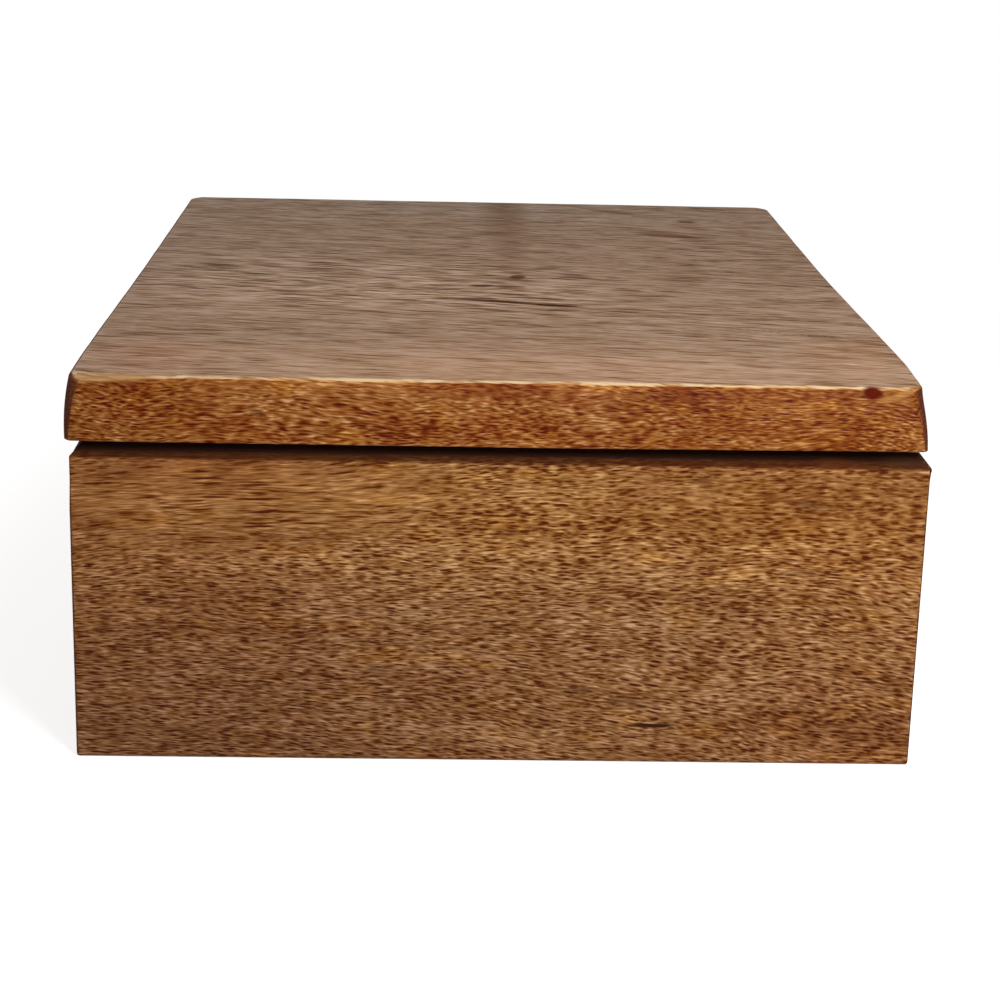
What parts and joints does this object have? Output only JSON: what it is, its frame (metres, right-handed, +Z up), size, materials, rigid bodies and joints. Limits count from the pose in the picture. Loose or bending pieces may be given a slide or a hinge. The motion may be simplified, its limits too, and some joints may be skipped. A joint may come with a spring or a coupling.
{
  "type": "hinged wooden box",
  "caption": "Keepsake box of clear-lacquered hardwood, 200 by 250 mm in plan, with mitred sides, a let-in bottom and a thick one-board lid on brass butt hinges.",
  "frame": {"origin": "middle of the box's flat underside, where it rests", "axes": "+X to the right of the box seen from its front, +Y from the front to the hinges at the back, +Z up"},
  "size_m": [0.201, 0.2501, 0.0935],
  "materials": {
    "case_wood": "satin clear lacquer on open-pored brown hardwood",
    "lid_wood": "satin clear lacquer on open-pored brown hardwood",
    "panel_wood": "thin clear lacquer",
    "hinge_brass": "brushed, slightly dulled",
    "pin_brass": "drawn wire",
    "screw_brass": "turned, slightly dulled"
  },
  "bodies": {
    "base": {"front_board": "case_wood", "back_board": "case_wood", "left_board": "case_wood", "right_board": "case_wood", "bottom_panel": "panel_wood", "left_hinge_base_leaf": "hinge_brass", "right_hinge_base_leaf": "hinge_brass", "left_hinge_pin": "pin_brass", "right_hinge_pin": "pin_brass", "left_hinge_base_screw_1": "screw_brass", "left_hinge_base_screw_2": "screw_brass", "right_hinge_base_screw_1": "screw_brass", "right_hinge_base_screw_2": "screw_brass"},
    "lid": {"lid_board": "lid_wood", "left_hinge_lid_leaf": "hinge_brass", "right_hinge_lid_leaf": "hinge_brass", "left_hinge_lid_screw_1": "screw_brass", "left_hinge_lid_screw_2": "screw_brass", "right_hinge_lid_screw_1": "screw_brass", "right_hinge_lid_screw_2": "screw_brass"}
  },
  "joints": [
    {"name": "lid_hinge", "type": "hinge", "parent": "base", "child": "lid", "pos_m": [0, 0.1232, 0.07815], "axis": [-1, 0, 0], "range_deg": [0, 105]}
  ]
}
